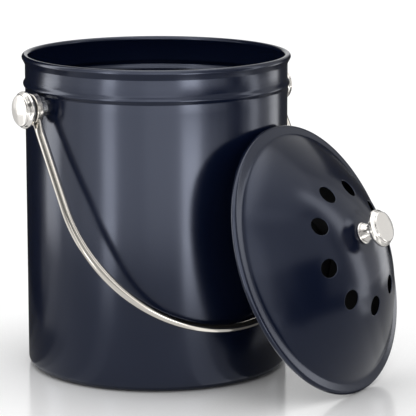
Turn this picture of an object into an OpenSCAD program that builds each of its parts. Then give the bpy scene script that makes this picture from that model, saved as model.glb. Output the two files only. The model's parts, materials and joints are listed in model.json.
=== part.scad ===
// Compost caddy: a round steel pail with a swinging bail handle and a loose domed lid.
// The lid has been taken off and leans on the pail. Millimetres, +Z up. The origin is
// the middle of the pail's flat base. The viewer stands on the -Y side.

/* [Pail] */
// Outer radius of the pail's wall
pail_r = 90; // [80:0.5:110]
// Height of the pail over its rolled rim
pail_h = 216.6; // [200:0.2:260]
// Thickness of the pail's steel sheet
pail_sheet = 0.8; // [0.6:0.1:1.2]
// Outside radius of the corner between wall and base
corner_r = 6; // [3:0.5:10]
// Radius of the rolled rim
rim_curl_r = 2.15; // [1.6:0.05:3]
// Height of the slanted underside that runs from the rolled rim back to the wall
rim_slant_h = 4.6; // [3:0.1:7]
// Distance of the bead's crest under the rim's top
bead_drop = 20.2; // [16:0.1:30]
// How far the bead stands out of the wall
bead_out = 1.4; // [0.6:0.1:2.2]
// Height of the bead's steep upper flank
bead_upper_h = 3.5; // [2:0.1:5]
// Height of the bead's slanted lower flank
bead_lower_h = 3.3; // [2:0.1:5]

/* [Bail pivots] */
// Distance of the pivot axis under the rim's top
pivot_drop = 30.7; // [28:0.1:60]
// Turn of the pivot axis from the X axis, seen from above
pivot_turn = 35; // [25:1:45]
// Diameter of the sleeve's foot, which stands on the wall
sleeve_foot_d = 10; // [9.4:0.1:12]
// Length of the sleeve's foot at its middle
sleeve_foot_h = 6.1; // [5:0.1:9]
// Diameter of the sleeve's journal, which the bail's eye turns on
journal_d = 8.9; // [7.5:0.1:9]
// Outer diameter of the nylon washer under the knob
nylon_d = 19.5; // [16:0.5:21]
// Thickness of the nylon washer
nylon_t = 1.9; // [1:0.1:3]
// Outer diameter of the rubber seal inside the pail
seal_d = 16; // [14:0.5:20]
// Thickness of the rubber seal at its middle
seal_t = 1.9; // [1.5:0.1:3]
// Outer diameter of the steel washer on the seal
inner_washer_d = 14; // [12:0.5:16]
// Thickness of the steel washers
washer_t = 1; // [0.8:0.1:1.6]

/* [Bail] */
// Diameter of the bail's rod
bail_rod_d = 6.2; // [5:0.1:8]
// Length of the bail from its axis to the middle of its bow
bail_len = 171.25; // [165:0.25:185]
// Outer diameter of the bail's forged eyes
eye_d = 21.5; // [18:0.5:24]
// Thickness of the bail's eyes
eye_t = 5; // [4:0.1:6]

/* [Knobs and screws] */
// Largest diameter of a knob
knob_d = 25; // [23:0.5:30]
// Diameter of a knob's flat back
knob_back_d = 22.6; // [20.6:0.1:23]
// Distance from a knob's back to the middle of its face
knob_t = 6.8; // [6.4:0.1:9]
// Diameter of a knob's slightly domed face
knob_face_d = 20.6; // [18:0.1:21]
// Nominal diameter of the screws
screw_d = 5; // [4:0.5:6]
// Diameter of a screw's pan head
screw_head_d = 9.5; // [8:0.5:11]
// Height of a screw's pan head
screw_head_h = 3; // [2:0.1:4]
// Length of thread in a knob
thread_len = 4.6; // [3.5:0.1:5]

/* [Lid] */
// How far the lid's rim reaches past the pail's wall
lid_overhang = 2.8; // [2.2:0.1:5]
// Radius of the lid's rolled rim
lid_curl_r = 2.2; // [1.6:0.1:3]
// Rise of the dome over its edge
dome_rise = 37; // [34:0.5:50]
// Thickness of the lid's steel sheet
lid_sheet = 0.9; // [0.6:0.1:1.2]
// How far the locating band reaches past the middle of the rolled rim
lip_depth = 4.8; // [3:0.1:10]
// Thickness of the locating band
lip_sheet = 0.8; // [0.6:0.1:1.2]
// Number of vent holes
vent_count = 9; // [3:1:12]
// Diameter of a vent hole
vent_d = 12; // [6:0.5:14]
// Radius of the ring of vent holes
vent_ring_r = 40.8; // [36:0.1:48]
// Distance of the knob from the lid's middle, towards the upper edge of the leaning lid
lid_knob_offset = 7; // [0:0.5:8]
// Height of the collar under the lid's knob
collar_h = 11.7; // [8:0.1:20]
// Diameter of the collar's flange
collar_flange_d = 15.2; // [13:0.1:18]
// Diameter of the collar's stem
collar_stem_d = 9.6; // [8:0.1:12]

/* [Leaning lid] */
// Lean of the lid from upright
lid_lean = 21.55; // [15:0.05:40]
// Bearing of the lid's middle round the pail, from the X axis
lid_bearing = -31.5; // [-60:0.5:-20]
// Turn of the lid's face from that bearing
lid_turn = -1; // [-5:0.5:5]

/* [Filter] */
// Diameter of the charcoal felt disc
filter_d = 116; // [100:1:118]
// Thickness of the charcoal felt disc
filter_t = 8; // [5:0.5:9]
// Wall of the holder's hoop and of its arms
holder_wall = 1.6; // [1.2:0.1:2]
// Width of the holder's arms
arm_w = 8; // [6:0.5:12]
// Diameter of the holder's post
post_d = 20; // [19:0.5:22]

/* [Clearances] */
// Radial clearance of the bail's eye on its journal
running_fit = 0.05; // [0.02:0.01:0.1]
// Clearance of the bail's eye between sleeve and washer
eye_side_gap = 0.1; // [0.1:0.05:0.5]
// Distance of the resting bail from the pail's wall
bail_rest_gap = 0.35; // [0.3:0.05:1]
// Distance of the leaning lid from the pail's wall
lid_rest_gap = 0.35; // [0.3:0.05:1]
// Radial clearance of the locating band in the pail's mouth
lip_fit = 0.25; // [0.2:0.05:1]
// Radial clearance of a screw in its holes
screw_fit = 0.05; // [0.05:0.05:0.3]
// Gap between pieces that are seated on a curved wall
seat_gap = 0.02; // [0.01:0.01:0.05]
// Clearance of the felt disc in its holder
filter_fit = 0.3; // [0.2:0.05:1]
// Clearance of the holder's hoop under the dome
hoop_gap = 0.9; // [0.3:0.1:3]

/* [Hidden] */
$fn = 96;
wall_fn = 360; // facets of a full turn where a piece is cut to the round wall
cut = 1; // extra length of every cutting body

// Pail, from the top down
rim_curl_z = pail_h - rim_curl_r;
bead_z = pail_h - bead_drop;
pivot_z = pail_h - pivot_drop;

// Pivot stack, as distances from the pail's axis
pail_inner_r = pail_r - pail_sheet;
seal_end = pail_inner_r - seal_t;
washer_end = seal_end - washer_t;
sleeve_shoulder = pail_r + sleeve_foot_h;
eye_start = sleeve_shoulder + eye_side_gap;
eye_mid = eye_start + eye_t / 2;
nylon_start = eye_start + eye_t + eye_side_gap;
knob_back = nylon_start + nylon_t;

// Bail: its bow just clears the wall where it rests
bail_rod_r = bail_rod_d / 2;
eye_bore_d = journal_d + 2 * running_fit;
bail_leg = bail_len - eye_mid;
bail_rest = asin((pail_r + bail_rest_gap + bail_rod_r) / bail_len);

// Screws and their holes
screw_shank_d = screw_d - 2 * screw_fit;
screw_hole_d = screw_d;
thread_end_gap = 0.4;

// Knob's edge
knob_edge_r = 1.2;
knob_band_top = 2.4;
knob_groove_z = 4.7;
knob_groove_w = 0.4;
knob_groove_deep = 0.3;
knob_face_edge_z = 5.7;
knob_face_land = 0.4;

// Lid, measured along its own axis from the middle of its rolled rim
lid_r = pail_r + lid_overhang;
lid_ring_r = lid_r - lid_curl_r;
dome_edge_r = lid_r - 4;
dome_edge_z = lid_curl_r + 0.8;
dome_top = dome_edge_z + dome_rise;
lip_r = pail_r - rim_curl_r - lip_fit;
seat_under = dome_top - 2.2;
seat_d = collar_flange_d + 1.2;
knob_seat_z = dome_top + collar_h;

// Leaning pose
lid_out = pail_r + lid_rest_gap + lip_r * sin(lid_lean) + lip_depth * cos(lid_lean);
lid_rise = lid_ring_r * cos(lid_lean) + lid_curl_r;

// Height of the dome's outer face at a radius: full in the middle, flat at its edge
function dome_z(r) =
    dome_edge_z + dome_rise * pow(max(0, 1 - pow(min(1, r / dome_edge_r), 2.35)), 1.35);

// Filter and holder, from the dome down
hoop_inner_r = filter_d / 2 + filter_fit;
hoop_outer_r = hoop_inner_r + holder_wall;
hoop_top = dome_z(hoop_outer_r) - lid_sheet - hoop_gap;
arm_z = hoop_top - holder_wall;
filter_top = arm_z - filter_fit;
filter_level = filter_top - filter_t;
post_bore_d = screw_head_d + 5.5;
post_web = 4;
lid_washer_z = seat_under - post_web - washer_t;

dome_steps = 24;
dome_radii = [for (i = [0 : dome_steps]) dome_edge_r * sin(90 * i / dome_steps)];

// Points on an arc about c
function arc(c, r, from, to, steps) =
    [for (i = [0 : steps]) let (a = from + (to - from) * i / steps) c + r * [cos(a), sin(a)]];

// Puts a child that points along +Z on a pivot; side is 1 on the right and -1 on the left
module at_pivot(side) {
    translate([0, 0, pivot_z])
        rotate([0, 90, pivot_turn + (side > 0 ? 0 : 180)])
            children();
}

// Puts a child built on the lid's own axis where the lid leans
module at_lid() {
    translate([lid_out * cos(lid_bearing), lid_out * sin(lid_bearing), lid_rise])
        rotate([0, 90 - lid_lean, lid_bearing + lid_turn])
            children();
}

// Puts a child of the lid on the knob's axis
module at_lid_knob() {
    at_lid()
        translate([-lid_knob_offset, 0, 0])
            children();
}

// A ring between two levels; an inner diameter of 0 makes a disc
module ring(outer_d, inner_d, from, to) {
    difference() {
        translate([0, 0, from])
            cylinder(d = outer_d, h = to - from);
        if (inner_d > 0)
            translate([0, 0, from - cut])
                cylinder(d = inner_d, h = to - from + 2 * cut);
    }
}

// Half section of the pail: base, corner, wall, bead, slant and rolled rim
module pail_section() {
    corner_c = [pail_r - corner_r, corner_r];
    square([pail_r - corner_r, pail_sheet]);
    intersection() {
        difference() {
            translate(corner_c)
                circle(r = corner_r);
            translate(corner_c)
                circle(r = corner_r - pail_sheet);
        }
        translate([corner_c[0], 0])
            square([corner_r, corner_r]);
    }
    bead = [
        [pail_r, bead_z - bead_lower_h],
        [pail_r + 0.55 * bead_out, bead_z - 0.45 * bead_lower_h],
        [pail_r + bead_out, bead_z],
        [pail_r + 0.7 * bead_out, bead_z + 0.5 * bead_upper_h],
        [pail_r, bead_z + bead_upper_h]
    ];
    inner_bead = [for (i = [len(bead) - 1 : -1 : 0]) bead[i] - [pail_sheet, 0]];
    polygon(concat([[pail_r, corner_r]], bead,
        [[pail_r, rim_curl_z], [pail_inner_r, rim_curl_z]], inner_bead,
        [[pail_inner_r, corner_r]]));
    translate([pail_r, rim_curl_z])
        circle(r = rim_curl_r);
    polygon([
        [pail_r - pail_sheet / 2, rim_curl_z - rim_slant_h],
        [pail_r, rim_curl_z - rim_slant_h],
        [pail_r + rim_curl_r * cos(25), rim_curl_z - rim_curl_r * sin(25)],
        [pail_r - pail_sheet / 2, rim_curl_z]
    ]);
}

module pail_shell() {
    color([0.17, 0.19, 0.25])
        difference() {
            rotate_extrude()
                pail_section();
            for (side = [-1, 1])
                at_pivot(side)
                    cylinder(d = screw_hole_d, h = pail_r + cut);
        }
}

// One half of the bail: eye, neck and straight leg
module bail_side(side) {
    translate([side * eye_mid, 0, 0])
        difference() {
            union() {
                rotate([0, 90, 0])
                    cylinder(d = eye_d, h = eye_t, center = true);
                intersection() {
                    translate([0, 0, -bail_leg])
                        cylinder(r = bail_rod_r, h = bail_leg - eye_bore_d / 2);
                    union() {
                        cube([eye_t, bail_rod_d, eye_d + 2 * cut], center = true);
                        translate([-bail_rod_d, -bail_rod_d, -bail_leg - cut])
                            cube([2 * bail_rod_d, 2 * bail_rod_d, bail_leg + cut - eye_d / 2]);
                    }
                }
            }
            rotate([0, 90, 0])
                cylinder(d = eye_bore_d, h = bail_rod_d + cut, center = true);
        }
}

module bail() {
    color([0.86, 0.84, 0.8])
        translate([0, 0, pivot_z])
            rotate([0, 0, pivot_turn])
                rotate([-bail_rest, 0, 0]) {
                    for (side = [-1, 1])
                        bail_side(side);
                    translate([0, 0, -bail_leg])
                        rotate([-90, 0, 0])
                            rotate_extrude(angle = 180)
                                translate([eye_mid, 0])
                                    circle(r = bail_rod_r);
                }
}

// A knob's head: rounded edge, tapered band, fine groove and a slightly domed face
module knob_head() {
    band_r = knob_d / 2;
    face_r = knob_face_d / 2;
    back_r = knob_back_d / 2;
    groove_r = face_r + knob_face_land - knob_groove_deep;
    face_rise = knob_t - knob_face_edge_z;
    difference() {
        rotate_extrude()
            polygon(concat(
                [[0, 0], [back_r, 0]],
                arc([band_r - knob_edge_r, knob_edge_r], knob_edge_r, -60, 0, 5),
                [
                    [band_r, knob_band_top],
                    [face_r + knob_face_land + 0.2, knob_groove_z - 0.1],
                    [groove_r, knob_groove_z],
                    [groove_r, knob_groove_z + knob_groove_w],
                    [face_r + knob_face_land, knob_groove_z + knob_groove_w + 0.1]
                ],
                [for (i = [0 : 8]) let (k = 1 - i / 8)
                    [face_r * k, knob_face_edge_z + face_rise * (1 - k * k)]]
            ));
        translate([0, 0, -cut])
            cylinder(d = screw_hole_d, h = cut + thread_len + thread_end_gap);
    }
}

// A pan-head screw whose head lies under level 0 and whose shank ends at length
module pan_screw(length) {
    cylinder(d = screw_shank_d, h = length);
    translate([0, 0, -screw_head_h])
        rotate_extrude()
            difference() {
                polygon(concat(
                    [[0, screw_head_h], [0, 0]],
                    arc([screw_head_d / 2 - 1, 1], 1, -90, 0, 6),
                    [[screw_head_d / 2, screw_head_h]]
                ));
                translate([-cut, -cut])
                    square([cut + 0.3 * screw_head_d, cut + 0.35 * screw_head_h]);
            }
}

module pivot_knob(side) {
    color([0.9, 0.88, 0.85])
        at_pivot(side)
            translate([0, 0, knob_back])
                knob_head();
}

module pivot_screw(side) {
    color([0.75, 0.75, 0.75])
        at_pivot(side)
            translate([0, 0, washer_end])
                pan_screw(knob_back + thread_len - washer_end);
}

// The sleeve's foot is cut to the round wall; its journal ends at the knob's back
module pivot_sleeve(side) {
    color([0.82, 0.82, 0.82])
        difference() {
            at_pivot(side)
                difference() {
                    union() {
                        ring(sleeve_foot_d, 0, pail_inner_r, sleeve_shoulder);
                        ring(journal_d, 0, pail_inner_r, knob_back);
                    }
                    cylinder(d = screw_hole_d, h = knob_back + cut);
                }
            translate([0, 0, pivot_z - sleeve_foot_d])
                cylinder(r = pail_r + seat_gap, h = 2 * sleeve_foot_d, $fn = wall_fn);
        }
}

module nylon_washer(side) {
    color([0.08, 0.08, 0.09])
        at_pivot(side)
            ring(nylon_d, eye_bore_d, nylon_start, knob_back);
}

module inner_washer(side) {
    color([0.75, 0.75, 0.75])
        at_pivot(side)
            ring(inner_washer_d, screw_hole_d, washer_end, seal_end);
}

// The seal's outer face follows the inside of the round wall
module seal_washer(side) {
    color([0.1, 0.1, 0.1])
        intersection() {
            at_pivot(side)
                ring(seal_d, screw_hole_d, seal_end, pail_r);
            translate([0, 0, pivot_z - seal_d])
                cylinder(r = pail_inner_r - seat_gap, h = 2 * seal_d, $fn = wall_fn);
        }
}

// Half section of the lid's sheet: dome and rolled rim
module lid_section() {
    polygon(concat(
        [for (r = dome_radii) [r, dome_z(r)]],
        [for (i = [dome_steps : -1 : 0]) [dome_radii[i], dome_z(dome_radii[i]) - lid_sheet]]
    ));
    polygon([
        [dome_edge_r - cut, dome_edge_z - lid_sheet],
        [dome_edge_r - cut, dome_edge_z],
        [dome_edge_r, dome_edge_z],
        [lid_ring_r, lid_curl_r],
        [lid_ring_r, lid_curl_r - lid_sheet],
        [dome_edge_r, dome_edge_z - lid_sheet]
    ]);
    difference() {
        translate([lid_ring_r, 0])
            circle(r = lid_curl_r);
        translate([lid_ring_r, 0])
            circle(r = lid_curl_r - lid_sheet);
        translate([lid_ring_r - lid_curl_r, -lid_curl_r / 2])
            square([lid_curl_r / 2, lid_curl_r]);
    }
}

module lid_shell() {
    color([0.17, 0.19, 0.25])
        at_lid()
            difference() {
                union() {
                    rotate_extrude()
                        lid_section();
                    intersection() {
                        translate([-lid_knob_offset, 0, seat_under])
                            cylinder(d = post_d + 2, h = dome_top);
                        rotate_extrude()
                            polygon(concat(
                                [[0, dome_edge_z]],
                                [for (i = [dome_steps : -1 : 0])
                                    [dome_radii[i], dome_z(dome_radii[i])]]
                            ));
                    }
                    translate([-lid_knob_offset, 0, 0])
                        ring(seat_d, 0, seat_under, dome_top);
                }
                translate([-lid_knob_offset, 0, seat_under - cut])
                    cylinder(d = screw_hole_d, h = dome_top);
                for (i = [0 : vent_count - 1])
                    rotate([0, 0, 360 * i / vent_count])
                        translate([vent_ring_r, 0, 0])
                            cylinder(d = vent_d, h = dome_top + cut);
            }
}

// Locating band that hangs inside the pail's mouth when the lid is on
module lid_lip() {
    color([0.15, 0.17, 0.22])
        at_lid()
            ring(2 * lip_r, 2 * (lip_r - lip_sheet), -lip_depth, dome_z(lip_r) - lid_sheet);
}

module lid_knob_collar() {
    flange_r = collar_flange_d / 2;
    stem_r = collar_stem_d / 2;
    flange_h = 1.6;
    groove_h = 0.6;
    cone_h = 4;
    color([0.86, 0.84, 0.8])
        at_lid_knob()
            translate([0, 0, dome_top])
                difference() {
                    rotate_extrude()
                        polygon(concat(
                            [[0, 0]],
                            arc([flange_r - flange_h / 2, flange_h / 2], flange_h / 2, -90, 90, 8),
                            [
                                [flange_r - 1.2, flange_h],
                                [flange_r - 1.2, flange_h + groove_h],
                                [flange_r - 0.9, flange_h + groove_h],
                                [stem_r, flange_h + groove_h + cone_h],
                                [stem_r, collar_h],
                                [0, collar_h]
                            ]
                        ));
                    translate([0, 0, -cut])
                        cylinder(d = screw_hole_d, h = collar_h + 2 * cut);
                }
}

module lid_knob() {
    color([0.9, 0.88, 0.85])
        at_lid_knob()
            translate([0, 0, knob_seat_z])
                knob_head();
}

module lid_knob_screw() {
    color([0.75, 0.75, 0.75])
        at_lid_knob()
            translate([0, 0, lid_washer_z])
                pan_screw(knob_seat_z + thread_len - lid_washer_z);
}

module lid_knob_washer() {
    color([0.75, 0.75, 0.75])
        at_lid_knob()
            ring(screw_head_d + 2.5, screw_hole_d, lid_washer_z, lid_washer_z + washer_t);
}

// Hoop, crossed arms and hollow post that the knob's screw holds under the dome
module filter_holder() {
    hoop_d = 2 * hoop_outer_r;
    color([0.09, 0.09, 0.1])
        at_lid()
            difference() {
                union() {
                    ring(hoop_d, 2 * hoop_inner_r, filter_level, hoop_top);
                    intersection() {
                        ring(hoop_d, 0, arm_z, hoop_top);
                        translate([-lid_knob_offset, 0, arm_z])
                            for (turn = [45, 135])
                                rotate([0, 0, turn])
                                    translate([-hoop_d, -arm_w / 2, 0])
                                        cube([2 * hoop_d, arm_w, holder_wall]);
                    }
                    translate([-lid_knob_offset, 0, 0])
                        ring(post_d, 0, arm_z, seat_under);
                }
                translate([-lid_knob_offset, 0, arm_z - cut])
                    cylinder(d = post_bore_d, h = seat_under - post_web - arm_z + cut);
                translate([-lid_knob_offset, 0, arm_z])
                    cylinder(d = screw_hole_d, h = dome_top);
            }
}

module charcoal_filter() {
    color([0.05, 0.05, 0.05])
        at_lid()
            ring(filter_d, 0, filter_level, filter_top);
}

pail_shell();
bail();
pivot_knob(-1);  // left_knob
pivot_knob(1);  // right_knob
pivot_screw(-1);  // left_pivot_screw
pivot_screw(1);  // right_pivot_screw
pivot_sleeve(-1);  // left_pivot_sleeve
pivot_sleeve(1);  // right_pivot_sleeve
nylon_washer(-1);  // left_nylon_washer
nylon_washer(1);  // right_nylon_washer
inner_washer(-1);  // left_inner_washer
inner_washer(1);  // right_inner_washer
seal_washer(-1);  // left_seal_washer
seal_washer(1);  // right_seal_washer
lid_shell();
lid_lip();
lid_knob();
lid_knob_collar();
lid_knob_screw();
lid_knob_washer();
filter_holder();
charcoal_filter();
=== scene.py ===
"""Compost caddy: a dark enamelled steel pail with a polished bail handle on knobbed pivots.
Its loose, vented dome lid has been taken off and leans on the pail's right front.
The studio is laid out in metres. The pieces are worked out in millimetres, and MM turns them
into metres. The frame is the CAD model's: Z up, the base on 0, and the viewer towards -Y.
"""

import json

import bmesh
import bpy
import numpy as np
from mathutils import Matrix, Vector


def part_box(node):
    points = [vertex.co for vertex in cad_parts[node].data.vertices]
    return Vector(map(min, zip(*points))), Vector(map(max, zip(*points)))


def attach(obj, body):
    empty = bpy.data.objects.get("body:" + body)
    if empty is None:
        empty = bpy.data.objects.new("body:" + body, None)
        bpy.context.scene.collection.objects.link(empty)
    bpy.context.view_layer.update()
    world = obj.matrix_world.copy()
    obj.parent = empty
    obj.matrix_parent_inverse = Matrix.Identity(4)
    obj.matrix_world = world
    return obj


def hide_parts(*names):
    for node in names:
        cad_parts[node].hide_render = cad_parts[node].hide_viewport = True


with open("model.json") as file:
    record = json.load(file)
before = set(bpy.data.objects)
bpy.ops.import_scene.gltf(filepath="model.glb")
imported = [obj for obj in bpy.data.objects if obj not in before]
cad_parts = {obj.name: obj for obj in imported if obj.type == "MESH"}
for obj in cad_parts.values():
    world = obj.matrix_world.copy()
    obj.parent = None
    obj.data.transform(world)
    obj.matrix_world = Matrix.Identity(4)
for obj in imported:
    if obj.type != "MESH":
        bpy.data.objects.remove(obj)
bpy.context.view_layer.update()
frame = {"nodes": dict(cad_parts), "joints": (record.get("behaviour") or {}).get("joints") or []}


# ------------------------------------------------------------------ Studio
# A pale, softly glossy table top that runs out of the picture on every side, with standing
# softboxes that draw the upright streaks on the pail, and the camera at the viewer's place.

def add_node(tree, kind, inputs=None, **settings):
    """Adds a shader node. A socket among the inputs is linked, and any other value is set."""
    made = tree.nodes.new(kind)
    for key, value in settings.items():
        setattr(made, key, value)
    for key, value in (inputs or {}).items():
        if isinstance(value, bpy.types.NodeSocket):
            tree.links.new(value, made.inputs[key])
        else:
            made.inputs[key].default_value = value
    return made


def new_material(name):
    """An empty node material and its output node."""
    material = bpy.data.materials.new(name)
    material.use_nodes = True
    material.node_tree.nodes.clear()
    return material, material.node_tree.nodes.new("ShaderNodeOutputMaterial")


def studio_rays(tree):
    """1 for rays from the camera, from gloss and through glass, and 0 for diffuse light."""
    path = add_node(tree, "ShaderNodeLightPath").outputs
    sharp = add_node(tree, "ShaderNodeMath", {
        0: path["Is Camera Ray"], 1: path["Is Glossy Ray"]}, operation="MAXIMUM")
    both = add_node(tree, "ShaderNodeMath", {
        0: sharp.outputs[0], 1: path["Is Transmission Ray"]}, operation="MAXIMUM")
    return both.outputs[0]


FLOOR_HALF = 6.0
FLOOR_TONE = (0.82, 0.82, 0.82, 1.0)
FLOOR_ROUGHNESS = 0.16
FLOOR_LIFT = 0.36          # light of its own, which takes the table top to white
CONTACT_REACH = 0.09       # how far the shade beside a piece reaches
CONTACT_DARKEST = 0.35     # openness at which the shade is full

floor_mesh = bpy.data.meshes.new("table_top")
floor_mesh.from_pydata(
    [(-FLOOR_HALF, -FLOOR_HALF, 0), (FLOOR_HALF, -FLOOR_HALF, 0),
     (FLOOR_HALF, FLOOR_HALF, 0), (-FLOOR_HALF, FLOOR_HALF, 0)],
    [], [(0, 1, 2, 3)])
table_top = bpy.data.objects.new("table_top", floor_mesh)
bpy.context.collection.objects.link(table_top)

floor_finish, floor_out = new_material("table_top")
floor_tree = floor_finish.node_tree
contact = add_node(floor_tree, "ShaderNodeAmbientOcclusion", {"Distance": CONTACT_REACH}, samples=8)
contact_shade = add_node(floor_tree, "ShaderNodeMapRange", {
    "Value": contact.outputs["AO"],
    "From Min": CONTACT_DARKEST,
    "From Max": 1.0,
    "To Max": FLOOR_LIFT,
})
floor_lift = add_node(floor_tree, "ShaderNodeMath", {
    0: studio_rays(floor_tree), 1: contact_shade.outputs[0]}, operation="MULTIPLY")
floor_shader = add_node(floor_tree, "ShaderNodeBsdfPrincipled", {
    "Base Color": FLOOR_TONE,
    "Roughness": FLOOR_ROUGHNESS,
    "Emission Color": (1, 1, 1, 1),
    "Emission Strength": floor_lift.outputs[0],
})
floor_tree.links.new(floor_shader.outputs[0], floor_out.inputs[0])
floor_mesh.materials.append(floor_finish)

ROOM_TONE = 0.62           # the room's brightness in diffuse light
world = bpy.data.worlds.new("studio")
bpy.context.scene.world = world
world.use_nodes = True
world.node_tree.nodes.clear()
world_strength = add_node(world.node_tree, "ShaderNodeMapRange", {
    "Value": studio_rays(world.node_tree),
    "To Min": ROOM_TONE,
    "To Max": 1.0,
})
world_light = add_node(world.node_tree, "ShaderNodeBackground", {
    "Color": (1, 1, 1, 1),
    "Strength": world_strength.outputs[0],
})
world_out = add_node(world.node_tree, "ShaderNodeOutputWorld")
world.node_tree.links.new(world_light.outputs[0], world_out.inputs[0])

enamel_pieces = bpy.data.collections.new("enamel_pieces")
pail_alone = bpy.data.collections.new("pail_alone")
steel_pieces = bpy.data.collections.new("steel_pieces")


def area_lamp(name, width, depth, radiance, place, turn, only=None):
    """A rectangular lamp that the camera doesn't see. Its power is radiance * pi * area, so
    that its face has that brightness. A lamp for one collection alone draws its streak in
    that collection's gloss, and lights nothing else."""
    lamp = bpy.data.lights.new(name, "AREA")
    lamp.shape = "RECTANGLE"
    lamp.size = width
    lamp.size_y = depth
    lamp.energy = radiance * np.pi * width * depth
    placed = bpy.data.objects.new(name, lamp)
    placed.location = place
    placed.rotation_euler = turn
    placed.visible_camera = False
    if only:
        placed.visible_diffuse = False
        placed.light_linking.receiver_collection = only
    bpy.context.collection.objects.link(placed)


def panel(name, start, end, radiance, low, high, distance, only=None):
    """An upright lamp that faces the part, between two heights and between two bearings, in
    degrees from the viewer to the right."""
    turn = np.radians((start + end) / 2)
    width = 2 * distance * np.tan(np.radians(end - start) / 2)
    place = (distance * np.sin(turn), -distance * np.cos(turn), (low + high) / 2)
    area_lamp(name, width, high - low, radiance, place, (np.pi / 2, 0, turn), only)


ENAMEL_RING = 0.52
for name, start, end, radiance, low, high in (
        ("left_glow", -104, -85, 3.6, 0.0, 0.7),
        ("left_edge_glow", -81, -62, 1.0, 0.0, 0.7),
        ("front_left_glow", -62, -42.6, 1.5, 0.0, 0.7),
        ("left_strip_glow", -42.6, -32, 5.0, 0.0, 0.7),
        ("front_glow", -32, -8, 2.0, 0.0, 0.7),
        ("front_right_glow", -8, 21.5, 2.5, 0.0, 0.7),
        ("upper_front_glow", -40, 75, 0.42, 0.24, 0.9),
        ("right_glow", 83, 93, 2.4, 0.0, 0.75),
        ("right_edge_glow", 110, 128, 1.8, 0.0, 0.135)):
    panel(name, start, end, radiance, low, high, ENAMEL_RING, enamel_pieces)

# These stand before the dark card that only the lid should mirror, so the wall keeps its light.
PAIL_RING = 0.49
PAIL_GLOW_TOP = 0.13
for name, start, end, radiance in (
        ("right_strip_glow", 21.5, 36.5, 5.6), ("right_fade_glow", 36.5, 43, 2.6),
        ("right_dusk_glow", 43, 51, 2.05), ("right_shade_glow", 51, 59, 1.5),
        ("right_far_shade_glow", 59, 66, 0.4)):
    panel(name, start, end, radiance, 0.0, PAIL_GLOW_TOP, PAIL_RING, pail_alone)

# The plain softboxes, which light every piece and the table top.
SOFTBOX_RING = 1.0
SOFTBOX_TOP = 1.3
for name, start, end, radiance in (
        ("left_softbox", -112, -86, 1.0), ("left_strip", -44, -32, 1.1),
        ("right_strip", 21, 37, 1.1), ("right_softbox", 88, 126, 0.45)):
    panel(name, start, end, radiance, 0.0, SOFTBOX_TOP, SOFTBOX_RING)

for name, start, end, radiance, low, high, distance in (
        ("steel_left_glow", -128, -72, 0.62, 0.0, 0.36, 0.19),
        ("steel_right_glow", 40, 76, 0.5, 0.0, 0.36, 0.32),
        ("steel_high_glow", 72, 128, 0.7, 0.42, 1.0, 0.5)):
    panel(name, start, end, radiance, low, high, distance, steel_pieces)

for name, size, radiance, place, only in (
        ("top_glow", 1.5, 2.2, (-0.15, 0, 1.3), enamel_pieces),
        ("steel_top_glow", 0.9, 0.6, (0, 0, 0.8), steel_pieces)):
    area_lamp(name, size, size, radiance, place, (0, 0, 0), only)


def reflected_only(name, points, faces, glow):
    """A staged surface that shows in gloss alone, and only on its front, as a dark card or a
    grey wall does."""
    mesh = bpy.data.meshes.new(name)
    mesh.from_pydata(points, [], faces)
    placed = bpy.data.objects.new(name, mesh)
    bpy.context.collection.objects.link(placed)
    placed.visible_camera = False
    placed.visible_diffuse = False
    placed.visible_shadow = False
    finish, out = new_material(name)
    tone = add_node(finish.node_tree, "ShaderNodeEmission", {"Strength": glow})
    clear = add_node(finish.node_tree, "ShaderNodeBsdfTransparent")
    side = add_node(finish.node_tree, "ShaderNodeNewGeometry")
    shown = add_node(finish.node_tree, "ShaderNodeMixShader", {
        0: side.outputs["Backfacing"], 1: tone.outputs[0], 2: clear.outputs[0]})
    finish.node_tree.links.new(shown.outputs[0], out.inputs[0])
    mesh.materials.append(finish)


# Name, X, first and last Y, top, glow. The order of the two Y picks the side that shows.
for name, aside, first_y, last_y, top, glow in (
        ("left_card", -0.2, 0.03, 0.75, 0.8, 0.02), ("right_card", 0.3, 0.95, 0.18, 0.32, 0.05)):
    reflected_only(name, [(aside, first_y, 0), (aside, last_y, 0),
                          (aside, last_y, top), (aside, first_y, top)], [(0, 1, 2, 3)], glow)


def band(name, start, end, first, last, columns, glow):
    """A band between two bearings and between two edges, each given as (distance, height).
    Its point at bearing a of an edge is distance * (sin a, -cos a), at that height."""
    turn = np.radians(np.linspace(start, end, columns))
    points = [(reach * np.sin(angle), -reach * np.cos(angle), height)
              for reach, height in (first, last) for angle in turn]
    faces = [(i, i + columns, i + columns + 1, i + 1) for i in range(columns - 1)]
    reflected_only(name, points, faces, glow)


# Upright cards and walls: name, bearings, lower and upper edge, distance, glow.
for name, start, end, low, high, distance, glow in (
        ("grey_wall", -148, 132, 0.0, 1.6, 1.35, 0.4),
        ("pale_wall", 132, 165, 0.0, 1.6, 1.35, 0.55),
        ("lid_heart_card", 41, 58, 0.0, 0.24, 0.5, 0.03),
        ("upper_left_card", -78, -12, 0.45, 0.85, 1.0, 0.1)):
    band(name, start, end, (distance, low), (distance, high), 60, glow)

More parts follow.
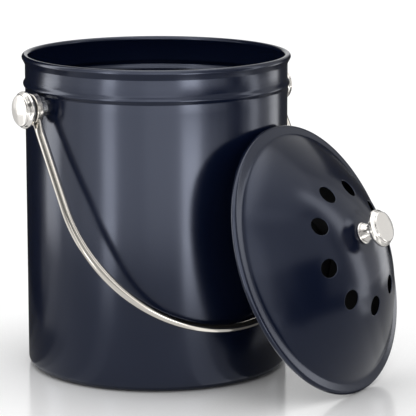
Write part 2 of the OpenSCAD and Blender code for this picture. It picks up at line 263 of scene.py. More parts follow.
# Bands of painted light and shade on the table top, seen in gloss alone, which the wall and the lid
# mirror: name, bearings, near and far edge, glow.
PAINTED_FLOOR_NEAR = 0.091
PAINTED_FLOOR_HEIGHT = 0.001
# The dim bands are painted shade of the table beside the pieces; the bright ones are painted pools
# of light under the strips and for the lid's streak.
for name, start, end, near, far, glow in (
        ("left_rear_painted_floor", -180, -112, PAINTED_FLOOR_NEAR, 4.0, 0.06),
        ("right_rear_painted_floor", 130, 180, PAINTED_FLOOR_NEAR, 4.0, 0.06),
        ("left_edge_painted_floor", -112, -97, PAINTED_FLOOR_NEAR, 0.3, 0.12),
        ("left_edge_far_painted_floor", -112, -97, 0.3, 1.0, 0.36),
        ("left_near_painted_floor", -97, -77, PAINTED_FLOOR_NEAR, 0.2, 0.15),
        ("left_side_painted_floor", -97, -77, 0.2, 0.3, 0.65),
        ("left_far_painted_floor", -97, -77, 0.3, 1.0, 0.75),
        ("left_corner_painted_floor", -77, -67, PAINTED_FLOOR_NEAR, 0.2, 0.5),
        ("left_middle_painted_floor", -77, -67, 0.2, 1.0, 0.8),
        ("left_painted_floor", -67, -42.6, PAINTED_FLOOR_NEAR, 1.0, 0.75),
        ("left_strip_near_painted_floor", -42.6, -32, PAINTED_FLOOR_NEAR, 0.3, 0.95),
        ("left_strip_painted_floor", -42.6, -32, 0.3, 0.4, 1.6),
        ("left_strip_far_painted_floor", -42.6, -32, 0.4, 1.0, 4.0),
        ("front_painted_floor", -32, 21.5, PAINTED_FLOOR_NEAR, 1.0, 0.75),
        ("right_strip_near_painted_floor", 21.5, 36.5, PAINTED_FLOOR_NEAR, 0.27, 1.2),
        ("right_strip_painted_floor", 21.5, 36.5, 0.27, 0.36, 2.2),
        ("right_strip_far_painted_floor", 21.5, 36.5, 0.36, 1.0, 5.5),
        ("right_front_painted_floor", 36.5, 46, PAINTED_FLOOR_NEAR, 1.0, 0.6),
        ("lid_near_painted_floor", 46, 130, PAINTED_FLOOR_NEAR, 0.165, 0.1),
        ("lid_front_painted_floor", 46, 78, 0.165, 0.42, 0.6),
        ("lid_far_painted_floor", 46, 78, 0.42, 1.3, 0.08),
        ("lid_streak_near_painted_floor", 78, 92, 0.165, 0.31, 0.5),
        ("lid_streak_painted_floor", 78, 84.5, 0.31, 1.0, 2.0),
        ("right_painted_floor", 92, 130, 0.165, 1.0, 0.35)):
    band(name, start, end, (near, PAINTED_FLOOR_HEIGHT), (far, PAINTED_FLOOR_HEIGHT), 25, glow)

CAMERA_PLACE = (0.0354, -1.587, 0.426)
CAMERA_DIP = 11.34         # degrees below the horizon
CAMERA_LENS = 201.8        # millimetres, for a sensor 36 mm wide
camera_data = bpy.data.cameras.new("viewer")
camera_data.sensor_width = 36
camera_data.lens = CAMERA_LENS
camera = bpy.data.objects.new("viewer", camera_data)
camera.location = CAMERA_PLACE
camera.rotation_euler = (np.radians(90 - CAMERA_DIP), 0, 0)
bpy.context.collection.objects.link(camera)
bpy.context.scene.camera = camera
bpy.context.scene.view_settings.view_transform = "Standard"


# ------------------------------------------------------------------ Pail
# One drawn steel sheet with a flat base, a rounded corner, a bead under the mouth and a rim
# rolled outwards. It is covered all over with a glossy, dark blue-grey enamel.

MM = 0.001
PAIL_R = 90.0
PAIL_H = 216.59            # a hair under the CAD's 216.6
SHEET = 0.8
CORNER_R = 6.0
CURL_R = 2.15
CURL_Z = PAIL_H - CURL_R
CURL_TURN = (-28, 200)     # degrees round the roll, from outside over the top to inside
CURL_TUCK = 3.2            # the inner face starts this far under the roll's middle
RIM_SLANT = 4.6            # the wall bends outwards this far under the roll's middle
RIM_BEND = ((0.0, -0.4), (0.12, 0.2))
BEAD_Z = PAIL_H - 20.2
BEAD_OUT = 1.4
BEAD_UPPER = 3.5
BEAD_LOWER = 3.3
PAIL_STEPS = 256


def arc(center, radius, start, end, count):
    """Points of a circle about center, from one angle to another in degrees: center plus
    radius * (cos a, sin a)."""
    turn = np.radians(np.linspace(start, end, count))
    return np.stack([center[0] + radius * np.cos(turn), center[1] + radius * np.sin(turn)], 1)


def add_piece(name, points, faces, uv=None):
    """A smooth mesh object at the origin. Points are in metres; uv is one pair a point."""
    mesh = bpy.data.meshes.new(name)
    mesh.from_pydata(points.tolist(), [], faces.tolist())
    mesh.polygons.foreach_set("use_smooth", np.ones(len(mesh.polygons), dtype=bool))
    if uv is not None:
        corner = np.empty(len(mesh.loops), dtype=np.int64)
        mesh.loops.foreach_get("vertex_index", corner)
        mesh.uv_layers.new(name="along").data.foreach_set("uv", uv[corner].ravel())
    mesh.update()
    piece = bpy.data.objects.new(name, mesh)
    bpy.context.collection.objects.link(piece)
    return piece


def grid_faces(rows, columns, wrap_rows=False, wrap_columns=False):
    """Four-cornered faces of a grid of points that is stored row by row. A wrapped grid is
    closed from its last row or column to its first."""
    i = np.arange(rows if wrap_rows else rows - 1)
    j = np.arange(columns if wrap_columns else columns - 1)
    i, j = np.meshgrid(i, j, indexing="ij")
    below, beside = (i + 1) % rows, (j + 1) % columns
    corners = [i * columns + j, below * columns + j, below * columns + beside, i * columns + beside]
    return np.stack(corners, -1).reshape(-1, 4)


def turned(section, steps):
    """A section of (radius, height) points turned about Z, point by point: row i and column j
    are radius_i * (cos a_j, sin a_j) and height_i, with a_j the j-th share of a full turn.
    Also gives uv: how far round from the start, up to 1 at half a turn and down again, and the
    length along the section."""
    turn = 2 * np.pi * np.arange(steps) / steps
    radius, height = section[:, 0], section[:, 1]
    points = np.stack([np.outer(radius, np.cos(turn)), np.outer(radius, np.sin(turn)),
                       np.outer(height, np.ones(steps))], -1)
    length = np.r_[0, np.cumsum(np.hypot(*np.diff(section, axis=0).T))]
    share = np.abs(2 * np.arange(steps) / steps - 1)
    uv = np.stack(np.broadcast_arrays(share, length[:, None]), -1)
    return points.reshape(-1, 3), uv.reshape(-1, 2)


def close_seams(piece):
    """Merges the doubled points at poles and seams, and turns the faces outwards."""
    work = bmesh.new()
    work.from_mesh(piece.data)
    bmesh.ops.remove_doubles(work, verts=work.verts, dist=1e-6)
    bmesh.ops.dissolve_degenerate(work, edges=work.edges, dist=1e-7)
    bmesh.ops.recalc_face_normals(work, faces=work.faces)
    work.to_mesh(piece.data)
    work.free()
    return piece


def bead_swell(height):
    """Outward swell of the bead: BEAD_OUT * (1 + cos(pi d)) / 2, with d the distance from the
    crest as a share of the bead's upper or lower half."""
    above = np.clip((height - BEAD_Z) / BEAD_UPPER, 0, 1)
    under = np.clip((BEAD_Z - height) / BEAD_LOWER, 0, 1)
    return BEAD_OUT * (0.5 + 0.5 * np.cos(np.pi * np.maximum(above, under)))


def pail_section():
    """Outline of the sheet from the middle of the base, out and up the wall, round the rolled
    rim and back down inside to the middle."""
    corner = (PAIL_R - CORNER_R, CORNER_R)
    bead_rows = np.linspace(BEAD_Z - BEAD_LOWER, BEAD_Z + BEAD_UPPER, 25)
    bead = np.stack([PAIL_R + bead_swell(bead_rows), bead_rows], 1)
    lower_wall = np.stack([np.full(30, PAIL_R), np.linspace(CORNER_R, BEAD_Z - BEAD_LOWER, 30)], 1)
    base = np.stack([np.linspace(0, PAIL_R - CORNER_R, 14), np.zeros(14)], 1)
    slant = np.array(RIM_BEND) + [PAIL_R, CURL_Z - RIM_SLANT]
    curl = arc((PAIL_R, CURL_Z), CURL_R, *CURL_TURN, 40)
    outside = np.vstack([base, arc(corner, CORNER_R, -90, 0, 14)[1:], lower_wall[1:], bead[1:],
                         slant, curl])
    inner_corner = arc(corner, CORNER_R - SHEET, 0, -90, 12)
    inside = np.vstack([[[PAIL_R - SHEET, CURL_Z - CURL_TUCK]], (bead - [SHEET, 0])[::-1],
                        (lower_wall[1:] - [SHEET, 0])[::-1], inner_corner,
                        (base + [0, SHEET])[::-1][1:]])
    return np.vstack([outside, inside])


pail_outline = pail_section()
pail_points, pail_uv = turned(pail_outline, PAIL_STEPS)
pail_faces = grid_faces(len(pail_outline), PAIL_STEPS, wrap_columns=True)
pail = close_seams(add_piece("pail_body", pail_points * MM, pail_faces, pail_uv))
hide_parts("pail_shell")
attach(pail, "pail")


def grain_group():
    """Group for sprayed and moulded faces: broad and fine noise on the object's own
    coordinates give a height, a roughness about a middle value and a mask of light patches."""
    group = bpy.data.node_groups.new("grain", "ShaderNodeTree")
    face = group.interface
    for name, kind, value in (
            ("Vector", "NodeSocketVector", None), ("Fine Scale", "NodeSocketFloat", 900),
            ("Broad Scale", "NodeSocketFloat", 40), ("Roughness", "NodeSocketFloat", 0.3),
            ("Spread", "NodeSocketFloat", 0.1)):
        socket = face.new_socket(name, in_out="INPUT", socket_type=kind)
        if value is not None:
            socket.default_value = value
    for name in ("Height", "Roughness", "Patches"):
        face.new_socket(name, in_out="OUTPUT", socket_type="NodeSocketFloat")
    given = add_node(group, "NodeGroupInput").outputs
    fine = add_node(group, "ShaderNodeTexNoise", {
        "Vector": given["Vector"], "Scale": given["Fine Scale"], "Detail": 2.0})
    broad = add_node(group, "ShaderNodeTexNoise", {
        "Vector": given["Vector"], "Scale": given["Broad Scale"], "Detail": 3.0})
    centred = add_node(group, "ShaderNodeMath", {0: broad.outputs[0], 1: 0.5},
                       operation="SUBTRACT")
    rough = add_node(group, "ShaderNodeMath", {
        0: centred.outputs[0], 1: given["Spread"], 2: given["Roughness"]},
        operation="MULTIPLY_ADD", use_clamp=True)
    result = add_node(group, "NodeGroupOutput")
    group.links.new(fine.outputs[0], result.inputs["Height"])
    group.links.new(rough.outputs[0], result.inputs["Roughness"])
    group.links.new(broad.outputs[0], result.inputs["Patches"])
    return group


GRAIN = grain_group()


def coated(name, dark, light, roughness, spread, fine_scale, broad_scale, bump, **uniform):
    """A material whose colour drifts between two tones, with grain in its bump and gloss.
    The scales are counts of grains a metre, and bump is their height in metres. uniform holds
    plain values of the shader, with _ for a space."""
    material, out = new_material(name)
    tree = material.node_tree
    place = add_node(tree, "ShaderNodeTexCoord")
    grain = add_node(tree, "ShaderNodeGroup", {
        "Vector": place.outputs["Object"],
        "Fine Scale": fine_scale,
        "Broad Scale": broad_scale,
        "Roughness": roughness,
        "Spread": spread,
    }, node_tree=GRAIN)
    tone = add_node(tree, "ShaderNodeMix", {
        0: grain.outputs["Patches"], 6: (*dark, 1), 7: (*light, 1)}, data_type="RGBA")
    relief = add_node(tree, "ShaderNodeBump", {
        "Height": grain.outputs["Height"], "Strength": 1.0, "Distance": bump})
    shader = add_node(tree, "ShaderNodeBsdfPrincipled", {
        "Base Color": tone.outputs[2],
        "Roughness": grain.outputs["Roughness"],
        "Normal": relief.outputs[0],
    })
    for key, value in uniform.items():
        shader.inputs[key.replace("_", " ")].default_value = value
    tree.links.new(shader.outputs[0], out.inputs[0])
    return material


ENAMEL_DARK = (0.0021, 0.005, 0.0182)
ENAMEL_LIGHT = (0.0029, 0.0062, 0.0212)
ENAMEL_TINT = (0.76, 0.82, 1.0, 1.0)
enamel = coated("enamel", ENAMEL_DARK, ENAMEL_LIGHT, roughness=0.2, spread=0.06, fine_scale=520,
                broad_scale=30, bump=0.00001, Specular_IOR_Level=0.42, Specular_Tint=ENAMEL_TINT)
pail.data.materials.append(enamel)
enamel_pieces.objects.link(pail)
pail_alone.objects.link(pail)


# ------------------------------------------------------------------ Bail pivots
# On each side a turned stainless knob, screwed on from inside the pail, holds the bail's eye
# on a sleeve. A black nylon washer lies under the knob, and a rubber seal inside the wall.

UP = np.array([0.0, 0.0, 1.0])
KNOB_R = 12.5
KNOB_T = 6.8
KNOB_BACK_R = 11.3
KNOB_BACK_ROUND = 0.3
KNOB_EDGE_ROUND = 1.2
KNOB_EDGE_Z = 1.45
KNOB_SHOULDER_ROUND = 1.0
KNOB_SHOULDER_Z = 2.3
KNOB_GROOVE = ((10.95, 4.45), (10.8, 4.62), (10.5, 4.72), (10.48, 4.9), (10.52, 5.05),
               (10.68, 5.12))
KNOB_FACE_R = 10.19
KNOB_FACE_INSET = 0.2
KNOB_FACE_START = 0.985    # share of KNOB_FACE_R at which the domed face starts
KNOB_FACE_ROUND = 0.5
KNOB_FACE_Z = 5.8          # the face's edge; from there it rises to KNOB_T in the middle
KNOB_FACE_POWER = 2.2
KNOB_SEAT = 103.2          # from the pail's axis to the back of a knob
SCREW_BORE_R = 2.5
SCREW_BORE_DEPTH = 5.0
BORE_CHAMFER = 0.3
KNOB_STEPS = 128

bail_joint = next(joint for joint in frame["joints"] if joint["name"] == "bail_swing")
PIVOT = np.array(bail_joint["pos_m"])
PIVOT_AXIS = -np.array(bail_joint["axis"])


def on_axis(points, origin, axis):
    """Points built about Z, stood on an axis through origin: origin + x * side + y * rise +
    z * axis. Side is level and square to the axis, and rise is square to both."""
    side = np.cross(UP, axis)
    side = side / np.linalg.norm(side)
    rise = np.cross(axis, side)
    return origin + points @ np.stack([side, rise, axis])


def knob_section():
    """Outline of a knob: blind bore, flat back, rounded edge, tapered band, fine groove, and a
    face whose height is KNOB_T less a drop that grows with the radius to a power."""
    bore = [[0, SCREW_BORE_DEPTH], [SCREW_BORE_R, SCREW_BORE_DEPTH], [SCREW_BORE_R, BORE_CHAMFER],
            [SCREW_BORE_R + BORE_CHAMFER, 0]]
    back = arc((KNOB_BACK_R - KNOB_BACK_ROUND, KNOB_BACK_ROUND), KNOB_BACK_ROUND, -90, -50, 4)
    edge = arc((KNOB_R - KNOB_EDGE_ROUND, KNOB_EDGE_Z), KNOB_EDGE_ROUND, -52, 0, 9)
    shoulder = arc((KNOB_R - KNOB_SHOULDER_ROUND, KNOB_SHOULDER_Z), KNOB_SHOULDER_ROUND, 0, 58, 8)
    face_edge = arc((KNOB_FACE_R - KNOB_FACE_INSET, KNOB_FACE_Z - KNOB_FACE_ROUND),
                    KNOB_FACE_ROUND, 0, 78, 8)
    share = np.linspace(KNOB_FACE_START, 0, 14)
    face = np.stack([KNOB_FACE_R * share,
                     KNOB_T - (KNOB_T - KNOB_FACE_Z) * share ** KNOB_FACE_POWER], 1)
    return np.vstack([bore, back, edge, shoulder, KNOB_GROOVE, face_edge, face])


def add_turned(name, section, steps, origin, axis):
    """A turned piece with its section in millimetres, stood on an axis through origin."""
    points, uv = turned(section, steps)
    faces = grid_faces(len(section), steps, wrap_columns=True)
    return close_seams(add_piece(name, on_axis(points * MM, origin, axis), faces, uv))


POLISH_FINE = 1500         # grains a metre
POLISH_BROAD = 160
LINE_STRETCH = 1.5         # change of the lines' pattern round a piece
LINE_SHADE = 0.88          # tone between the lines, as a share of the steel's
LINE_HEIGHT = 0.000004     # metres


def polished(name, tone, roughness, line_scale):
    """Turned and polished steel: fine lines run round the piece, across its uv length."""
    material, out = new_material(name)
    tree = material.node_tree
    along = add_node(tree, "ShaderNodeUVMap", uv_map="along")
    stretch = add_node(tree, "ShaderNodeMapping", {
        "Vector": along.outputs[0], "Scale": (LINE_STRETCH, line_scale, 1.0)})
    lines = add_node(tree, "ShaderNodeTexNoise", {
        "Vector": stretch.outputs[0], "Scale": 1.0, "Detail": 3.0})
    place = add_node(tree, "ShaderNodeTexCoord")
    grain = add_node(tree, "ShaderNodeGroup", {
        "Vector": place.outputs["Object"],
        "Fine Scale": POLISH_FINE,
        "Broad Scale": POLISH_BROAD,
        "Roughness": roughness,
        "Spread": roughness * 0.8,
    }, node_tree=GRAIN)
    shade = add_node(tree, "ShaderNodeMix", {
        0: lines.outputs[0], 6: (*[LINE_SHADE * value for value in tone], 1), 7: (*tone, 1)},
        data_type="RGBA")
    relief = add_node(tree, "ShaderNodeBump", {
        "Height": lines.outputs[0], "Strength": 1.0, "Distance": LINE_HEIGHT})
    shader = add_node(tree, "ShaderNodeBsdfPrincipled", {
        "Base Color": shade.outputs[2],
        "Roughness": grain.outputs["Roughness"],
        "Normal": relief.outputs[0],
        "Metallic": 1.0,
    })
    tree.links.new(shader.outputs[0], out.inputs[0])
    return material


STEEL_TONE = (0.86, 0.83, 0.79)
knob_steel = polished("knob_steel", STEEL_TONE, roughness=0.12, line_scale=2.2)

for side_name, side_axis in (("left", -PIVOT_AXIS), ("right", PIVOT_AXIS)):
    knob = add_turned(side_name + "_turned_knob", knob_section(), KNOB_STEPS,
                      PIVOT + KNOB_SEAT * MM * side_axis, side_axis)
    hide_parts(side_name + "_knob")
    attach(knob, "pail")
    knob.data.materials.append(knob_steel)
    steel_pieces.objects.link(knob)

plain_steel = coated("plain_steel", (0.5, 0.5, 0.5), (0.62, 0.62, 0.61), roughness=0.28, spread=0.2,
                     fine_scale=2500, broad_scale=300, bump=0.000006, Metallic=1.0)
nylon = coated("nylon", (0.012, 0.012, 0.013), (0.02, 0.02, 0.022), roughness=0.45, spread=0.15,
               fine_scale=2200, broad_scale=250, bump=0.00001)
rubber = coated("seal_rubber", (0.014, 0.014, 0.014), (0.026, 0.026, 0.026), roughness=0.7,
                spread=0.2, fine_scale=3000, broad_scale=260, bump=0.00002)


def refinish(material, *names):
    """Gives CAD nodes whose shape is right a finished material."""
    for name in names:
        for holder in frame["nodes"][name].material_slots:
            holder.material = material


refinish(plain_steel, "left_pivot_screw", "right_pivot_screw", "left_inner_washer",
         "right_inner_washer", "left_pivot_sleeve", "right_pivot_sleeve")
for side_name in ("left", "right"):
    steel_pieces.objects.link(frame["nodes"][side_name + "_pivot_sleeve"])
refinish(nylon, "left_nylon_washer", "right_nylon_washer")
refinish(rubber, "left_seal_washer", "right_seal_washer")


# ------------------------------------------------------------------ Bail
# A polished round steel rod bent to a long U. Its ends are forged flat into ring-shaped eyes
# that turn on the sleeves. At rest the bow lies against the front of the wall.

ROD_R = 3.1
ROD_STEPS = 32
BAIL_LEN = 171.25          # from the pivots to the middle line's lowest point
BAIL_REST_GAP = 0.35
EYE_MID = 98.7             # from the pail's axis to the middle of an eye
EYE_R = 10.75
EYE_BORE_R = 4.5
EYE_HALF_T = 2.5
EYE_ROUND = 0.8
BORE_ROUND = 0.4
EYE_STEPS = 96
NECK_START = 6.6
NECK_END = 19.0
NECK_WIDE = 5.2            # half sizes of the rod where it meets an eye
NECK_THICK = 2.25
NECK_POWER = 0.8
LEG_STEPS = 36
LEG_CROWDING = 1.4         # power that draws a leg's rings together near its eye
ROD_UV = (0.02, 20)        # uv of the rod: by its length in millimetres, and by the way round
BOW_STEPS = 150

bail_forward = np.cross(PIVOT_AXIS, UP)
bail_tilt = np.arcsin((PAIL_R + BAIL_REST_GAP + ROD_R) / BAIL_LEN)
bail_down = np.sin(bail_tilt) * bail_forward - np.cos(bail_tilt) * UP


def rod_path():
    """Middle line of the rod in the bail's own plane: across and down. Straight legs, and
    between them a half circle, EYE_MID * (-cos a, sin a) from the legs' lower ends."""
    leg = BAIL_LEN - EYE_MID
    steps = NECK_START + (leg - NECK_START) * np.linspace(0, 1, LEG_STEPS) ** LEG_CROWDING
    turn = np.linspace(0, np.pi, BOW_STEPS)
    bow = np.stack([-EYE_MID * np.cos(turn), leg + EYE_MID * np.sin(turn)], 1)
    left = np.stack([np.full(LEG_STEPS, -EYE_MID), steps], 1)
    right = np.stack([np.full(LEG_STEPS, EYE_MID), steps[::-1]], 1)
    return np.vstack([left, bow[1:-1], right])


def swept_rod():
    """The rod's section carried along its path: a circle that widens into an ellipse towards
    each eye. Row i, column j is the path's point i plus wide_i * cos b_j square to the bail's
    plane and thick_i * sin b_j within it. A point at each end of the path closes the rod."""
    path = rod_path()
    along = np.gradient(path, axis=0)
    along /= np.linalg.norm(along, axis=1)[:, None]
    within = np.stack([along[:, 1], -along[:, 0]], 1)
    ease = np.clip((path[:, 1] - NECK_START) / (NECK_END - NECK_START), 0, 1)
    ease = ease * ease * (3 - 2 * ease)
    wide = NECK_WIDE + (ROD_R - NECK_WIDE) * ease ** NECK_POWER
    thick = NECK_THICK + (ROD_R - NECK_THICK) * ease
    turn = 2 * np.pi * np.arange(ROD_STEPS) / ROD_STEPS
    plane = np.stack([PIVOT_AXIS, bail_down])
    square = np.cross(PIVOT_AXIS, bail_down)
    middle = path @ plane
    points = (middle[:, None] + (wide[:, None] * np.cos(turn))[..., None] * square
              + (thick[:, None] * np.sin(turn))[..., None] * (within @ plane)[:, None])
    ends = np.broadcast_to(middle[[0, -1], None], (2, ROD_STEPS, 3))
    points = np.concatenate([ends[:1], points, ends[1:]])
    length = np.cumsum(np.linalg.norm(np.diff(path, axis=0), axis=1))
    length = np.r_[0, 0, length, length[-1]]
    share = np.abs(2 * np.arange(ROD_STEPS) / ROD_STEPS - 1)
    uv = np.stack(np.broadcast_arrays(length[:, None] * ROD_UV[0], share * ROD_UV[1]), -1)
    return PIVOT + points.reshape(-1, 3) * MM, uv.reshape(-1, 2), len(points)


def eye_section():
    """Closed outline of a forged eye: a ring with rounded edges."""
    outer_r, outer_z = EYE_R - EYE_ROUND, EYE_HALF_T - EYE_ROUND
    inner_r, inner_z = EYE_BORE_R + BORE_ROUND, EYE_HALF_T - BORE_ROUND
    return np.vstack([arc((outer_r, outer_z), EYE_ROUND, 90, 0, 8),
                      arc((outer_r, -outer_z), EYE_ROUND, 0, -90, 8),
                      arc((inner_r, -inner_z), BORE_ROUND, -90, -180, 5),
                      arc((inner_r, inner_z), BORE_ROUND, 180, 90, 5)])


rod_points, rod_uv, rod_rows = swept_rod()
parts, part_uv = [rod_points], [rod_uv]
part_faces = [grid_faces(rod_rows, ROD_STEPS, wrap_columns=True)]
ring = eye_section()
for side in (-1, 1):
    ring_points, ring_uv = turned(ring, EYE_STEPS)
    eye_place = PIVOT + side * EYE_MID * MM * PIVOT_AXIS
    ring_faces = grid_faces(len(ring), EYE_STEPS, wrap_rows=True, wrap_columns=True)
    part_faces.append(ring_faces + sum(map(len, parts)))
    parts.append(on_axis(ring_points * MM, eye_place, PIVOT_AXIS))
    part_uv.append(ring_uv)
bail = add_piece("bail_rod", np.vstack(parts), np.vstack(part_faces), np.vstack(part_uv))
close_seams(bail)
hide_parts("bail")
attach(bail, "bail_handle")
ROD_TONE = (0.75, 0.71, 0.65)
rod_steel = polished("rod_steel", ROD_TONE, roughness=0.16, line_scale=0.6)
bail.data.materials.append(rod_steel)
steel_pieces.objects.link(bail)


# ------------------------------------------------------------------ Lid
# A spun steel dome with a rolled rim, enamelled like the pail. Nine round vents are punched
# in it, and a locating band is welded under it. It stands on its rim and leans on the wall.

LID_R = 92.8
LID_CURL_R = 2.19
LID_SHEET = 0.9
LID_RING_R = LID_R - LID_CURL_R - 0.02
LID_CURL_TURN = (82, -192)  # degrees round the roll, from the flange outwards and under
LID_CURL_LAP = 4           # the roll's inner face runs on this many degrees past its outer one
DOME_EDGE_R = LID_R - 4
DOME_EDGE_Z = LID_CURL_R + 0.8
DOME_RISE = 37.0
DOME_POWERS = (2.35, 1.35)
DOME_TOP = DOME_EDGE_Z + DOME_RISE
LIP_R = PAIL_R - CURL_R - 0.25
LIP_DEPTH = 4.8
VENT_COUNT = 9
VENT_R = 6.0
VENT_RING_R = 40.8
VENT_BAND = (30.0, 52.0)   # radii between which each vent has its own sector of sheet
KNOB_OFFSET = 7.0          # the knob stands this far up the slope from the middle
SEAT_R = 8.4
SEAT_BLEND = 9.0
FOOT_START = 72.0          # outside this radius the dome runs down straighter to its foot
FOOT_SLOPE = 0.716
FOOT_BEND = 0.0055
FLANK_END = 76.0           # outside this radius the sheet's rows stand closer
FLANGE_EDGE = (90.88, 2.18)
FLANGE_SLOPE = 0.13
FLANGE_END = 90.5          # radius at which the flange meets the roll
FOOT_FILLET = 0.42

lid_joint = next(joint for joint in frame["joints"] if joint["name"] == "lid_lift_off")
LID_AXIS = np.array(lid_joint["axis"])


def dome_form(radius):
    """Plain height of the dome's outer face over the middle of the rolled rim: DOME_EDGE_Z +
    DOME_RISE * (1 - (r / DOME_EDGE_R) ** p) ** q, with p and q the two powers."""
    share = np.minimum(radius / DOME_EDGE_R, 1.0)
    spread, crown = DOME_POWERS
    return DOME_EDGE_Z + DOME_RISE * np.power(np.maximum(1 - share ** spread, 0), crown)


def dome_height(x, y):
    """Height of the finished outer face. Past FOOT_START the dome falls by a parabola. It meets
    the flat flange in a hollow, which is a soft maximum, flange + f * log(1 + exp(rise / f)).
    Round the knob a smooth step blends it into a flat seat."""
    radius = np.hypot(x, y)
    past = np.maximum(radius - FOOT_START, 0)
    dome = dome_form(np.minimum(radius, FOOT_START)) - FOOT_SLOPE * past - FOOT_BEND * past ** 2
    flange = FLANGE_EDGE[1] + FLANGE_SLOPE * (FLANGE_EDGE[0] - radius)
    height = flange + FOOT_FILLET * np.logaddexp(0, (dome - flange) / FOOT_FILLET)
    seat = np.clip((np.hypot(x + KNOB_OFFSET, y) - SEAT_R) / SEAT_BLEND, 0, 1)
    flat = 1 - seat * seat * (3 - 2 * seat)
    return height + (DOME_TOP - height) * flat


# The lid's own origin, in the middle of its rolled rim, from the place of its locating band.
lip_low, lip_high = np.array(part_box("lid_lip"))
lip_middle = (dome_form(LIP_R) - LID_SHEET - LIP_DEPTH) / 2
LID_ORIGIN = (lip_low + lip_high) / 2 - lip_middle * MM * LID_AXIS
LID_ACROSS = np.cross(UP, LID_AXIS)
LID_ACROSS = LID_ACROSS / np.linalg.norm(LID_ACROSS)
LID_DOWN = np.cross(LID_ACROSS, LID_AXIS)


def at_lid(points):
    """Points in millimetres on the lid's own axes: down the slope, across it, and outwards."""
    return LID_ORIGIN + points * MM @ np.stack([LID_DOWN, LID_ACROSS, LID_AXIS])


def both_skins(x, y):
    """The outer and the inner face of the sheet over points x, y of the lid's plane."""
    height = dome_height(x, y)
    return np.stack([x, y, height], -1), np.stack([x, y, height - LID_SHEET], -1)


def vent_sector(middle, arc_steps, side_steps):
    """One vent and the sheet round it. Row k is a loop round the hole, and column t the place
    on the loop. The first loops blend from the sector's border to the hole's edge by the sine
    of an even angle. The next roll over the edge in a half circle, and the last run back
    under the sheet."""
    half = np.pi / VENT_COUNT
    inner_r, outer_r = VENT_BAND
    turns = np.linspace(-half, half, arc_steps + 1)[:-1]
    inward = np.linspace(outer_r, inner_r, side_steps + 1)[:-1]
    outward = np.linspace(inner_r, outer_r, side_steps + 1)[:-1]
    border_r = np.r_[np.full(arc_steps, outer_r), inward, np.full(arc_steps, inner_r), outward]
    border_a = middle + np.r_[turns, np.full(side_steps, half), -turns, np.full(side_steps, -half)]
    border = np.stack([border_r * np.cos(border_a), border_r * np.sin(border_a)], 1)
    hole = VENT_RING_R * np.array([np.cos(middle), np.sin(middle)])
    toward = border - hole
    toward = toward / np.linalg.norm(toward, axis=1)[:, None]
    roll = LID_SHEET / 2
    edge = hole + (VENT_R + roll) * toward
    share = np.sin(np.linspace(0, np.pi / 2, 11))[:, None, None]
    plan = border + (edge - border) * share
    outer, inner = both_skins(plan[..., 0], plan[..., 1])
    turn = np.linspace(0, np.pi, 9)[1:-1][:, None]
    rolled_xy = hole + (VENT_R + roll - roll * np.sin(turn))[..., None] * toward
    rolled_z = outer[-1, :, 2] - roll * (1 - np.cos(turn))
    rolled = np.concatenate([rolled_xy, rolled_z[..., None]], -1)
    loops = np.concatenate([outer, rolled, inner[::-1]])
    return loops.reshape(-1, 3), grid_faces(len(loops), len(border), wrap_columns=True)


def polar_patch(radii, steps, start, inner_face):
    """A disc of the dome's sheet on a polar grid, x = r cos a and y = r sin a: its outer or
    its inner face."""
    turn = start + 2 * np.pi * np.arange(steps) / steps
    x, y = np.outer(radii, np.cos(turn)), np.outer(radii, np.sin(turn))
    face = both_skins(x, y)[1 if inner_face else 0]
    return face.reshape(-1, 3), grid_faces(len(radii), steps, wrap_columns=True)


def rim_section():
    """Outline of the sheet from the vents' outer border out to the rolled rim, round the roll
    to its tucked end, and back along the inner face. It starts and ends at the border."""
    radii = np.r_[np.linspace(VENT_BAND[1], FLANK_END, 18),
                  np.linspace(FLANK_END + 1, FLANGE_END, 40)]
    skin = np.stack([radii, dome_height(radii, 0 * radii)], 1)
    start, tuck = LID_CURL_TURN
    outer_roll = arc((LID_RING_R, 0), LID_CURL_R, start, tuck, 44)
    inner_roll = arc((LID_RING_R, 0), LID_CURL_R - LID_SHEET, tuck, start + LID_CURL_LAP, 28)
    under = (skin - [0, LID_SHEET])[::-1]
    return np.vstack([skin, outer_roll, inner_roll, under])


ARC_STEPS, SIDE_STEPS = 24, 14
LID_STEPS = VENT_COUNT * ARC_STEPS
first = -np.pi / VENT_COUNT
pieces = [vent_sector(2 * np.pi * i / VENT_COUNT, ARC_STEPS, SIDE_STEPS)
          for i in range(VENT_COUNT)]
disc_radii = np.r_[0, np.linspace(1.0, VENT_BAND[0], 24)]
pieces += [polar_patch(disc_radii, LID_STEPS, first, inner_face) for inner_face in (False, True)]
rim_points = turned(rim_section(), LID_STEPS)[0]
spin = np.array([[np.cos(first), np.sin(first), 0], [-np.sin(first), np.cos(first), 0], [0, 0, 1]])
rim_faces = grid_faces(len(rim_points) // LID_STEPS, LID_STEPS, wrap_columns=True)
pieces.append((rim_points @ spin, rim_faces))
starts = np.cumsum([0] + [len(points) for points, faces in pieces])
lid = add_piece("lid_dome", at_lid(np.vstack([points for points, faces in pieces])),
                np.vstack([faces + start for (points, faces), start in zip(pieces, starts)]))
close_seams(lid)
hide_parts("lid_shell")
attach(lid, "lid")
lid.data.materials.append(enamel)
refinish(enamel, "lid_lip")
enamel_pieces.objects.link(lid)
enamel_pieces.objects.link(frame["nodes"]["lid_lip"])


# ------------------------------------------------------------------ Lid knob
# The same turned knob as on the pivots, stood off the dome by a turned collar with a flange.
# A screw from below holds both, and a washer spreads its load.

COLLAR_H = 11.7
FLANGE_HALF_H = 0.8
COLLAR_FLANGE_R = 7.35
COLLAR_GROOVE = ((6.45, 1.62), (6.3, 1.75), (6.3, 2.1), (6.45, 2.22), (6.68, 2.3))
CONE_FOOT = (6.72, 2.4)
CONE_H = 3.8
CONE_POWERS = (0.8, 1.15)
STEM_R = 4.8
STEM_START = 8.5
COLLAR_GAP = 0.05          # left under the knob


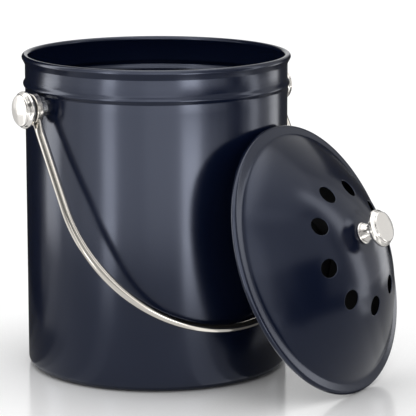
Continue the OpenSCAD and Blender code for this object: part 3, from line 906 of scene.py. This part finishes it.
def collar_section():
    """Outline of the collar: bore, rounded flange, groove, hollow-sided cone and stem. The
    cone's radius and height go from foot to stem by a share t, raised to two powers."""
    flange = arc((COLLAR_FLANGE_R - FLANGE_HALF_H, FLANGE_HALF_H), FLANGE_HALF_H, -90, 90, 12)
    share = np.linspace(0, 1, 12)[1:]
    foot_r, foot_z = CONE_FOOT
    inwards, upwards = CONE_POWERS
    cone = np.stack([foot_r + (STEM_R - foot_r) * share ** inwards,
                     foot_z + CONE_H * share ** upwards], 1)
    top = COLLAR_H - COLLAR_GAP
    stem = [[STEM_R, STEM_START], [STEM_R, top], [SCREW_BORE_R, top]]
    bore = [[SCREW_BORE_R, 0]]
    return np.vstack([bore, flange, COLLAR_GROOVE, cone, stem, bore])


knob_seat = at_lid(np.array([[-KNOB_OFFSET, 0, DOME_TOP]]))[0]
collar = add_turned("turned_collar", collar_section(), KNOB_STEPS, knob_seat, LID_AXIS)
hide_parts("lid_knob_collar")
top_knob = add_turned("turned_lid_knob", knob_section(), KNOB_STEPS,
                      knob_seat + COLLAR_H * MM * LID_AXIS, LID_AXIS)
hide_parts("lid_knob")
for piece in (collar, top_knob):
    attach(piece, "lid")
    piece.data.materials.append(knob_steel)
    steel_pieces.objects.link(piece)
refinish(plain_steel, "lid_knob_screw", "lid_knob_washer")


# ------------------------------------------------------------------ Filter
# A disc of charcoal-filled felt, held by friction in a black moulded hoop. The hoop hangs
# from the knob's screw on a hollow post and crossed arms.

holder_plastic = coated("holder_plastic", (0.012, 0.012, 0.013), (0.02, 0.02, 0.021),
                        roughness=0.42, spread=0.14, fine_scale=1400, broad_scale=90,
                        bump=0.00002)
refinish(holder_plastic, "filter_holder")

FIBRE_TURNS = (0.4, 1.9)
FIBRE_SCALES = ((2600, 500, 900), (500, 2600, 1400))
FIBRE_HEIGHT = 0.0004      # metres
FELT_TONES = (0.002, 0.008)


def felt_material():
    """Charcoal felt: matted fibres as stretched noise in two directions, which give its bump and a
    tone that drifts between two near-blacks.
    """
    material, out = new_material("charcoal_felt")
    tree = material.node_tree
    place = add_node(tree, "ShaderNodeTexCoord")
    fibres = []
    for turn, scale in zip(FIBRE_TURNS, FIBRE_SCALES):
        laid = add_node(tree, "ShaderNodeMapping", {
            "Vector": place.outputs["Object"],
            "Rotation": (turn, 0.7 * turn, turn),
            "Scale": scale,
        })
        fibres.append(add_node(tree, "ShaderNodeTexNoise", {
            "Vector": laid.outputs[0], "Scale": 1.0, "Detail": 4.0}))
    matted = add_node(tree, "ShaderNodeMath", {
        0: fibres[0].outputs[0], 1: fibres[1].outputs[0]}, operation="ADD")
    tone = add_node(tree, "ShaderNodeMapRange", {
        "Value": matted.outputs[0],
        "From Min": 0.7,
        "From Max": 1.4,
        "To Min": FELT_TONES[0],
        "To Max": FELT_TONES[1],
    })
    relief = add_node(tree, "ShaderNodeBump", {
        "Height": matted.outputs[0], "Strength": 1.0, "Distance": FIBRE_HEIGHT})
    shader = add_node(tree, "ShaderNodeBsdfPrincipled", {
        "Base Color": tone.outputs[0],
        "Roughness": 0.95,
        "Normal": relief.outputs[0],
        "Sheen Weight": 0.04,
    })
    tree.links.new(shader.outputs[0], out.inputs[0])
    return material


refinish(felt_material(), "charcoal_filter")
